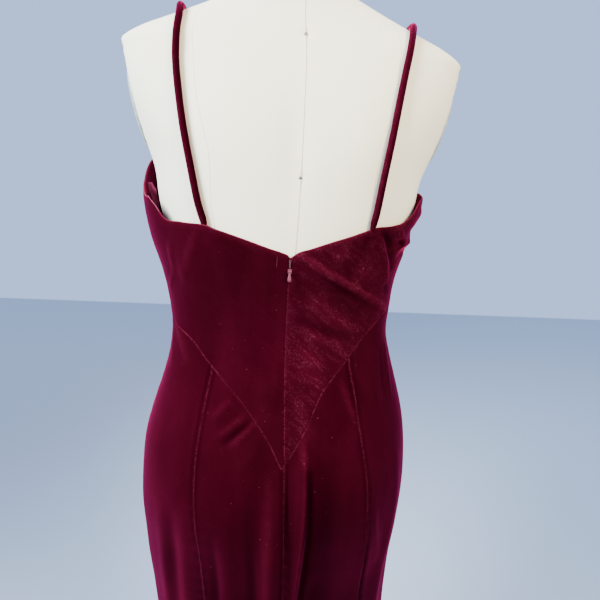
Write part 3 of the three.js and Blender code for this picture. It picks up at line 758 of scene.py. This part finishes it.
# %% Strap line
STRAP_RADIUS = 3.9
STRAP_LIFT = 5.0
TUCK = [(-8.0, 2.6), (3.5, 3.9)]  # above the top edge, lift: the ends are sewn in behind it
TUCK_LENGTH = 16 * MM
TUCK_FLAT = 0.45
STRAP_PAINTED_SIDE_LIGHT = 0.9
STRAP_ROUTE = [  # half width at the left and right, height, side: 1 is the back, 0 the crest
    (92.6, 88.5, 1168, 1), (98.2, 90.3, 1190, 1), (105, 93, 1229, 1), (112, 97.5, 1265, 1),
    (120.5, 106.4, 1303, 1), (125.7, 114, 1334, 1), (126.9, 120.2, 1360, 1),
    (126.2, 125.5, 1383, 1), (127.5, 129.5, 1396, 1), (129, 132, 0, 0), (129, 131, 1396, -1),
    (128.5, 129, 1383, -1), (125, 126, 1352, -1), (117, 118, 1322, -1), (105, 105, 1296, -1),
    (87, 87, 1263, -1),
]
CREST_LEVELS = np.arange(1380, 1440, 0.05)
CURVE_STEPS = 12


def crest(half):
    """Height of the shoulder's crest at a distance from the middle."""
    off = np.abs(read(FORM, "half", CREST_LEVELS) - half)
    return float(CREST_LEVELS[np.argmin(off)])


def lifted(surface, turn, height, out):
    """A point of a surface moved out along its normal, in metres."""
    spots = np.array([turn, turn + 0.5, turn - 0.5, turn, turn])
    levels = np.array([height, height, height, height - 1.0, height + 1.0])
    at = around(spots, levels, surface(spots, levels))
    normal = np.cross(at[1] - at[2], at[3] - at[4])
    return Vector((at[0] + normal / np.linalg.norm(normal) * out) * MM)


def strap_point(left, right, height, side, sign, end=None):
    """A place on the strap's line, over the form; an end is given from the top edge."""
    half = left if sign > 0 else right
    height = crest(half) if side == 0 else height

    def turn_at(level):
        wide = read(FORM, "half", level)
        depth = read(FORM, "back" if side > 0 else "front", level)
        rest = max(0.0, 1 - (half / wide) ** SECTION_POWER)
        return math.degrees(math.atan2(half, side * depth * rest ** (1 / SECTION_POWER)))

    above, lift = end or (0, STRAP_LIFT)
    if end:
        height = float(top_edge(np.array([sign * turn_at(height)]))[0]) + above
    point = lifted(form_radius, turn_at(height), height, lift)
    point.x *= sign
    return point


def smooth_line(points, count):
    """A Catmull-Rom curve through the points, at even steps."""
    p = np.array([points[0], *points, points[-1]])
    line = []
    for i in range(len(p) - 3):
        for t in np.linspace(0, 1, CURVE_STEPS, endpoint=False):
            a, b, c, d = p[i : i + 4]
            bend = (2 * a - 5 * b + 4 * c - d) * t**2 + (3 * b - a - 3 * c + d) * t**3
            line.append(0.5 * (2 * b + (c - a) * t + bend))
    line = np.array([*line, p[-2]])
    along = np.concatenate([[0], np.cumsum(np.linalg.norm(np.diff(line, axis=0), axis=1))])
    at = np.linspace(0, along[-1], count)
    return [Vector([np.interp(a, along, line[:, k]) for k in range(3)]) for a in at], along[-1]


# %% Tube helper
END_RINGS = [(0, 0.55), (0.35, 0.86)]  # share of the radius along, and of the width: a round end


def tube(line, radius, sides=20, widths=1.0, flats=1.0):
    """A ring extruded along a line, with rounded ends, and its width and depth at each place."""
    bm = bmesh.new()
    widths, flats = (np.broadcast_to(shares, len(line)) for shares in (widths, flats))
    stations = []
    for i, point in enumerate(line):
        along = (line[min(i + 1, len(line) - 1)] - line[max(i - 1, 0)]).normalized()
        stations.append((point, along, widths[i], flats[i]))
    ends = []
    for sign, (point, along, wide, flat) in ((1, stations[0]), (-1, stations[-1])):
        out = sign * radius * along
        ends.append([(point + out * (a - 1), along, wide * k, flat * k) for a, k in END_RINGS])
    stations = [*ends[0], *stations, *ends[1][::-1]]
    ring = None
    for point, along, wide, flat in stations:
        out = Vector((point.x, point.y, 0)).normalized()
        side = along.cross(out).normalized()
        out = side.cross(along).normalized()
        turn = Matrix((side, out, along)).transposed().to_4x4()
        size = Matrix.Diagonal((wide * radius, flat * radius, 1, 1))
        placed = Matrix.Translation(point) @ turn @ size
        if ring is None:
            made = bmesh.ops.create_circle(bm, cap_ends=False, segments=sides, radius=1)
            ring = made["verts"]
            base = [v.co.copy() for v in ring]
        else:
            edges = [e for e in bm.edges if e.verts[0] in ring and e.verts[1] in ring]
            made = bmesh.ops.extrude_edge_only(bm, edges=edges)["geom"]
            fresh = [g for g in made if isinstance(g, bmesh.types.BMVert)]
            ring = [min(fresh, key=lambda f: (f.co - v.co).length) for v in ring]
        for vertex, co in zip(ring, base):
            vertex.co = placed @ co
    bmesh.ops.holes_fill(bm, edges=bm.edges, sides=0)
    bmesh.ops.recalc_face_normals(bm, faces=bm.faces)
    return bm


# %% Straps
STRAP_RINGS = 170
VELVET_STRAP = velvet("velvet_strap", 0.6)
for side_name, sign in (("left", 1), ("right", -1)):
    start = [strap_point(*STRAP_ROUTE[0], sign, end) for end in TUCK]
    middle = [strap_point(*row, sign) for row in STRAP_ROUTE[1:-1]]
    finish = [strap_point(*STRAP_ROUTE[-1], sign, end) for end in TUCK[::-1]]
    line, strap_length = smooth_line([*start, *middle, *finish], STRAP_RINGS)
    along = np.linspace(0, strap_length, STRAP_RINGS)
    tucked = np.clip(np.minimum(along, strap_length - along) / TUCK_LENGTH, 0, 1)
    flats = TUCK_FLAT + (1 - TUCK_FLAT) * tucked**2 * (3 - 2 * tucked)
    bm = tube(line, STRAP_RADIUS * MM, flats=flats)
    bm.normal_update()
    # painted light: each strap is lighter on its side facing +X, towards the window, with painted
    # shade on the other side
    store(bm, "nap_and_painted_light", [STRAP_PAINTED_SIDE_LIGHT * vertex.normal.x for vertex in bm.verts])
    name = f"strap_{side_name}"
    finish_piece(f"{name}_tube", bm, VELVET_STRAP, name)
    print(name, round(strap_length, 3), "metres long")

# %% [markdown]
# ## Sewing at the edges
#
# At the left underarm the side seam's allowance has come forward and stands in the armhole,
# wrong side out. It is a narrow grid between two lines, crumpled by two waves. A loose thread
# lies along the edge there, and short stitches tack the zip's tape and the left strap. Each
# stitch is a small sphere, drawn out along its own direction.

# %% Seam allowance at the left underarm
ALLOWANCE = table(
    "height outer inner",
    [1168, 158, 155], [1177, 161, 157], [1190, 166, 160], [1204, 170, 162.5], [1212, 173, 166],
)
ALLOWANCE_TURN = 88
ALLOWANCE_GRID = (9, 41)
ALLOWANCE_CLOTH = 0.9 * MM
RIPPLE = 0.5
CRUMPLE = 1.7
WRONG_DARK, WRONG_LIGHT = (0.07, 0.004, 0.016), (0.15, 0.014, 0.042)
wrong_side = material("velvet_wrong_side", WRONG_DARK, 0.9)
shader(wrong_side).inputs["Specular IOR Level"].default_value = 0.08
knit = noise(wrong_side, 700, 3, (1, 1, 0.4))
tone = blend(wrong_side, ramp(wrong_side, knit, 0.3, 0.7), WRONG_DARK, WRONG_LIGHT)
plug(wrong_side, tone, shader(wrong_side).inputs["Base Color"])
bump(wrong_side, knit, 0.5, 0.0006)
bm, u, v = unit_grid(*(np.linspace(0, 1, count) for count in ALLOWANCE_GRID))
lowest, highest = ALLOWANCE["height"][[0, -1]]
height = lowest + (highest - lowest) * v
outer, inner = (read(ALLOWANCE, side, height) for side in ("outer", "inner"))
radius = outer + (inner - outer) * u + RIPPLE * np.sin(height / 2.3 + 3 * u)
sway = CRUMPLE * (np.sin(height / 4.1) * u + 0.6 * np.sin(5.5 * u + height / 7.7))
move_to(bm, ALLOWANCE_TURN + np.degrees(sway / radius), height, radius)
bmesh.ops.recalc_face_normals(bm, faces=bm.faces)
bmesh.ops.solidify(bm, geom=bm.faces, thickness=ALLOWANCE_CLOTH)
allowance = finish_piece("underarm_allowance", bm, wrong_side)
print("allowance", len(allowance.data.polygons), "faces")

# %% Thread and stitches
THREAD_RADIUS = 0.28 * MM
THREAD_TURNS = (81, 67.6)
THREAD_POINTS = 60
STITCH_SIZE = (0.55 * MM, 0.22 * MM, 0.22 * MM, 1)
STITCHES = [  # from turn, height, to turn, height, how many
    (8.1, 1134, 8.5, 1124.5, 6),  # tacks the zip's tape
    (38.5, 1158.5, 43, 1161.5, 4),  # tacks the left strap
]
cotton = material("sewing_thread", (0.15, 0.024, 0.048), 0.7, grain=(3000, 0.4, 0.0001))
thread_turns = np.linspace(*THREAD_TURNS, THREAD_POINTS)
thread_heights = top_edge(thread_turns) + 0.5 + 0.5 * np.sin(thread_turns * 1.3)
thread_radii = gown_radius(thread_turns, thread_heights) - 1.0
line = [Vector(place) * MM for place in around(thread_turns, thread_heights, thread_radii)]
finish_piece("edge_thread", tube(line, THREAD_RADIUS, 8), cotton)
bm = bmesh.new()
for turn0, height0, turn1, height1, count in STITCHES:
    ends = [lifted(gown_radius, turn0, height0, 0), lifted(gown_radius, turn1, height1, 0)]
    along = (ends[1] - ends[0]).to_track_quat("X", "Z").to_matrix().to_4x4()
    for share in np.linspace(0, 1, count):
        turn, height = turn0 + (turn1 - turn0) * share, height0 + (height1 - height0) * share
        spot = lifted(gown_radius, turn, height, 0.1)
        placed = Matrix.Translation(spot) @ along @ Matrix.Diagonal(STITCH_SIZE)
        bmesh.ops.create_uvsphere(bm, u_segments=8, v_segments=6, radius=1, matrix=placed)
finish_piece("stitches", bm, cotton)
print("stitches", sum(row[-1] for row in STITCHES))

# %% [markdown]
# ## Linen form
#
# The form's cover is linen drawn tight over a padded shell. It begins as a grid that is rolled
# round the body until its two sides meet, where a weld closes it, and the ends are filled. Two
# dressmaker's pins mark the centre back, and each pulls a dimple in the cover.

# %% Linen
LINEN_LIGHT = (0.87, 0.77, 0.56)
LINEN_SHADE = (0.83, 0.72, 0.5)
linen = material("linen", LINEN_LIGHT, 0.85)
tone = blend(linen, noise(linen, 9, 2), LINEN_LIGHT, LINEN_SHADE)
plug(linen, tone, shader(linen).inputs["Base Color"])
shader(linen).inputs["Sheen Weight"].default_value = 0.1
warp = noise(linen, 1500, 2, (1, 1, 0.25))
weft = noise(linen, 1500, 2, (0.25, 0.25, 1))
bump(linen, times(linen, warp, weft), 0.3, 0.0004)

# %% Torso
FORM_TURNS = 240
PINS = [(-5.7, 1368.9), (-3.8, 1218)]  # turn, height
DIMPLE = 1.2
DIMPLE_SPREAD = 6
FORM_TOP = 1500
FORM_BOTTOM = 760
ROW_ZONES = [(FORM_BOTTOM, 1340, 10), (1340, 1444, 2), (1444, FORM_TOP + 1, 8)]  # from, to, step
levels = np.concatenate([np.arange(*zone) for zone in ROW_ZONES])
columns = np.linspace(0, 1, FORM_TURNS + 1)
bm, u, v = unit_grid(columns, (levels - FORM_BOTTOM) / (FORM_TOP - FORM_BOTTOM))
turn, height = u * 360, FORM_BOTTOM + v * (FORM_TOP - FORM_BOTTOM)
radius = form_radius(turn, height)
for pin_turn, pin_height in PINS:
    across = np.radians(signed(turn - pin_turn)) * radius
    radius = radius - DIMPLE * fade(np.hypot(across, height - pin_height), DIMPLE_SPREAD)
move_to(bm, turn, height, radius)
bmesh.ops.remove_doubles(bm, verts=bm.verts, dist=1e-5)
bmesh.ops.holes_fill(bm, edges=bm.edges, sides=0)
bmesh.ops.recalc_face_normals(bm, faces=bm.faces)
torso = finish_piece("form_torso_cover", bm, linen, "form_torso", sharp=60)
print("torso", len(torso.data.polygons), "faces")

# %% [markdown]
# The cover is sewn from long panels. Each seam stands up by less than half a millimetre and
# wanders a little, since it was sewn by hand over the shell. It is a thin tube along the cover,
# half sunk in it.

# %% Seams and pins of the form
FORM_SEAMS = table(
    "height back princess front",
    [764, -2, 36, 142], [1143, -3.4, 43, 142], [1181, -3.8, 44.6, 143], [1241, -4.2, 44.3, 143],
    [1300, -4.8, 52, 137], [1355, -5.9, 59.6, 128], [1401, -5.5, 68, 118], [1436, -8, 78, 108],
)
SEAM_POINTS = 90
PIN_RADIUS = 1.8 * MM
PIN_FLAT = 0.6
seam_linen = material("linen_seam", (0.5, 0.42, 0.3), 0.9, grain=(900, 0.4, 0.0004))
pin_steel = material("pin_steel", (0.12, 0.12, 0.11), 0.35, 0.8, grain=(900, 0.1, 0.0001))


def form_seam(name, column, sign, radius):
    """A seam of the cover, from the form's bottom to its neck."""
    line = []
    for height in np.linspace(*FORM_SEAMS["height"][[0, -1]], SEAM_POINTS):
        turn = sign * float(read(FORM_SEAMS, column, height))
        line.append(lifted(form_radius, turn, height, -0.1))
    finish_piece(name, tube(line, radius * MM, 8), seam_linen)


form_seam("form_seam_back", "back", 1, 0.45)
for side_name, sign in (("left", 1), ("right", -1)):
    form_seam(f"form_seam_princess_{side_name}", "princess", sign, 0.25)
    form_seam(f"form_seam_front_{side_name}", "front", sign, 0.3)
for i, (turn_at, height_at) in enumerate(PINS):
    bm = bmesh.new()
    bmesh.ops.create_uvsphere(bm, u_segments=20, v_segments=12, radius=PIN_RADIUS)
    bmesh.ops.scale(bm, verts=bm.verts, vec=(1, PIN_FLAT, 1))
    place = lifted(form_radius, turn_at, height_at, -0.5)
    bmesh.ops.translate(bm, verts=bm.verts, vec=place)
    finish_piece(f"pin_{i + 1}", bm, pin_steel)
print("form seams 5, pins", len(PINS))

# %% [markdown]
# ## Neck cap, arm plates and stand
#
# The form's ends are closed by plates of painted metal. The stand is a steel tube in a heavy
# disc. Both are cones with two equal radii, and a bevel takes the sharpness off their edges,
# since a real edge always catches some light.

# %% Metals
paint = material("plate_paint", (0.34, 0.35, 0.31), 0.5, grain=(500, 0.15, 0.0003))
steel = material("brushed_steel", (0.56, 0.57, 0.58), 0.34, 1.0)
turned_marks = noise(steel, 120, 3, (1, 1, 12))
plug(steel, ramp(steel, turned_marks, -0.6, 2.4), shader(steel).inputs["Roughness"])


def recolour(name, mat):
    """Gives a solid that stays as it was packed its own material."""
    solid = frame["nodes"][name]
    solid.data.materials.clear()
    solid.data.materials.append(mat)
    return solid


for name in ("form_neck_cap", "form_arm_plate_left", "form_arm_plate_right"):
    recolour(name, paint)


# %% Stand
def disc(radius, low, high, bevel, segments=96):
    """A round disc or rod with bevelled rims."""
    bm = bmesh.new()
    bmesh.ops.create_cone(
        bm, cap_ends=True, segments=segments, radius1=radius, radius2=radius, depth=high - low
    )
    bmesh.ops.translate(bm, verts=bm.verts, vec=(0, 0, (low + high) / 2))
    rims = [e for e in bm.edges if abs(e.verts[0].co.z - e.verts[1].co.z) < 1e-6]
    bmesh.ops.bevel(
        bm, geom=rims, offset=bevel, segments=3, profile=0.5, affect="EDGES", material=-1
    )
    return bm


base_low, base_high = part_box("stand_base")
base = disc(base_high.x, base_low.z, base_high.z, 3 * MM)
finish_piece("stand_disc", base, steel, "stand_base")
pole_low, pole_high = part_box("stand_pole")
pole = disc(pole_high.x, pole_low.z, pole_high.z, MM, 48)
finish_piece("stand_tube", pole, steel, "stand_pole")

# %% [markdown]
# ## Zip
#
# An invisible zip hides its coil behind the seam. Only its open end shows, above the slider. The
# slider and its teardrop tab are die cast and enamelled in a pink that matches the velvet. The
# slider stays as it was packed and gets finer edges and a finish here.

# %% Zip finishes
enamel = material("zip_enamel", (0.16, 0.03, 0.045), 0.36, 0.3, (900, 0.1, 0.0001))
shader(enamel).inputs["Coat Weight"].default_value = 0.1
nylon = material("zip_nylon", (0.11, 0.03, 0.045), 0.5, grain=(1200, 0.3, 0.0002))
edges = recolour("zip_slider", enamel).modifiers.new("edges", "BEVEL")
edges.width = 0.4 * MM
edges.segments = 3

# %% [markdown]
# The tab is cast with a rounded face, narrow at its neck and full at its foot. It is a short
# tube whose rings change their width, with a barrel across its top that turns on the slider's
# pin. It rides on the tab's own body.

# %% Zip pull
PULL_SHAPE = table(  # share of the way down, half width and half depth in millimetres
    "down wide deep",
    [0, 1.0, 0.55], [0.15, 0.95, 0.6], [0.45, 1.35, 0.7], [0.75, 1.85, 0.8], [0.92, 2.1, 0.75],
    [1, 1.95, 0.6],
)
PULL_RINGS = 24
BARREL = MM
BARREL_WIDTH = 2.6 * MM
tab_low, tab_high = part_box("zip_pull")
hinge = Vector(frame["record"]["behaviour"]["joints"][0]["pos_m"])
down = np.linspace(0, 1, PULL_RINGS)
levels = np.linspace(hinge.z, tab_low.z + BARREL, PULL_RINGS)
line = [Vector((hinge.x, hinge.y, level)) for level in levels]
wide, deep = (read(PULL_SHAPE, column, down) for column in ("wide", "deep"))
bm = tube(line, MM, 24, wide, deep)
across = Matrix.Translation(hinge) @ Matrix.Rotation(math.pi / 2, 4, "Y")
bmesh.ops.create_cone(
    bm,
    cap_ends=True,
    segments=24,
    radius1=BARREL,
    radius2=BARREL,
    depth=BARREL_WIDTH,
    matrix=across,
)
finish_piece("zip_pull_cast", bm, enamel, "zip_pull", body=TAB_BODY)
print("pull", [round(c / MM, 1) for c in tab_high - tab_low], "mm")

# %% [markdown]
# The coil is a spring of nylon whose turns lock like teeth. Each turn shows as a short bead, so
# two rows of flattened spheres make it. They part towards the top, where the zip is open.

# %% Zip coil
coil_low, coil_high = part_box("zip_coil")
coil_size = coil_high - coil_low
TOOTH_PITCH = 0.95 * MM
TOOTH_RADIUS = 0.5 * MM
TOOTH_SHAPE = (0.9, 0.8, 0.62)
ROW_GAP, ROW_PARTING = 0.42, 0.3  # millimetres from the middle, and how much more at the top
teeth = round((coil_size.z - MM) / TOOTH_PITCH)
bm = bmesh.new()
for k in range(teeth):
    share = k / (teeth - 1)
    level = coil_low.z + TOOTH_RADIUS + k * TOOTH_PITCH
    deep = (coil_low.y + coil_high.y) / 2 + (share - 0.5) * (coil_size.y - MM)
    for sign in (-1, 1):
        side = sign * (ROW_GAP + ROW_PARTING * share**2) * MM
        made = bmesh.ops.create_uvsphere(bm, u_segments=12, v_segments=8, radius=TOOTH_RADIUS)
        bmesh.ops.scale(bm, verts=made["verts"], vec=TOOTH_SHAPE)
        spot = (side, deep, level + sign * TOOTH_PITCH / 4)
        bmesh.ops.translate(bm, verts=made["verts"], vec=spot)
finish_piece("zip_coil_teeth", bm, nylon, "zip_coil")
print("zip coil", 2 * teeth, "teeth")

# %% [markdown]
# ## What the cloth was cut from
#
# Each panel prints the size of its flat cut, without allowances, when it is made.

# %% [markdown]
# ## Floor, light and camera
#
# A pale floor under an even sky, a large window light from the wearer's left, a weaker warm one
# from the right and a little fill on the front. The camera has a phone's wide lens and is held
# close behind the gown, a little below shoulder height.

# %% Floor and world
FLOOR_HALF = 6
SKY_COLOUR = (0.44, 0.62, 1.0, 1)
SKY_STRENGTH = 1.35
bm = bmesh.new()
bmesh.ops.create_grid(bm, x_segments=1, y_segments=1, size=FLOOR_HALF)
mesh_object("floor", bm, material("floor", (0.5, 0.54, 0.6), 0.95))
world = bpy.data.worlds.new("studio")
bpy.context.scene.world = world
world.use_nodes = True
backdrop = world.node_tree.nodes["Background"]
backdrop.inputs["Color"].default_value = SKY_COLOUR
backdrop.inputs["Strength"].default_value = SKY_STRENGTH
print("floor", 2 * FLOOR_HALF, "metres wide")


# %% Lights
SPREAD = 65  # degrees: a grid in front of each lamp, so that the hem stays calm
AIM = (0, 0, 1.34)


def area_light(name, place, size, power, colour):
    """A soft square light that points at the back of the bodice."""
    data = bpy.data.lights.new(name, "AREA")
    data.shape = "SQUARE"
    data.size = size
    data.energy = power
    data.color = colour
    data.spread = math.radians(SPREAD)
    obj = add_object(name, data)
    obj.location = place
    obj.rotation_mode = "QUATERNION"
    obj.rotation_quaternion = (Vector(AIM) - Vector(place)).to_track_quat("-Z", "Y")
    print(name, power, "watts")


area_light("window", (2.1, 1.3, 2.5), 1.6, 74, (0.76, 0.89, 1.0))
area_light("room", (-1.5, 2.1, 2.3), 1.4, 28, (1.0, 0.86, 0.56))
area_light("front_fill", (0.6, -2.2, 2.2), 1.6, 19, (1.0, 0.98, 0.95))

# %% Camera
LENS_SHARE = 451 / 600  # focal length over frame width
SENSOR = 36
EYE = Vector((0.029, 0.581, 1.165))
YAW, PITCH, ROLL_ANGLE = -0.086, 0.155, 0.052
ahead = Vector(
    (math.sin(YAW) * math.cos(PITCH), -math.cos(YAW) * math.cos(PITCH), -math.sin(PITCH))
)
right = ahead.cross(Vector((0, 0, 1))).normalized()
up = right.cross(ahead)
right_rolled = math.cos(ROLL_ANGLE) * right + math.sin(ROLL_ANGLE) * up
up_rolled = -math.sin(ROLL_ANGLE) * right + math.cos(ROLL_ANGLE) * up
camera_data = bpy.data.cameras.new("camera")
camera_data.sensor_width = SENSOR
camera_data.lens = SENSOR * LENS_SHARE
camera_data.clip_start = 0.05
camera = add_object("camera", camera_data)
turned = Matrix((right_rolled, up_rolled, -ahead)).transposed().to_4x4()
camera.matrix_world = Matrix.Translation(EYE) @ turned
bpy.context.scene.camera = camera
print("lens", round(camera_data.lens, 1), "mm")
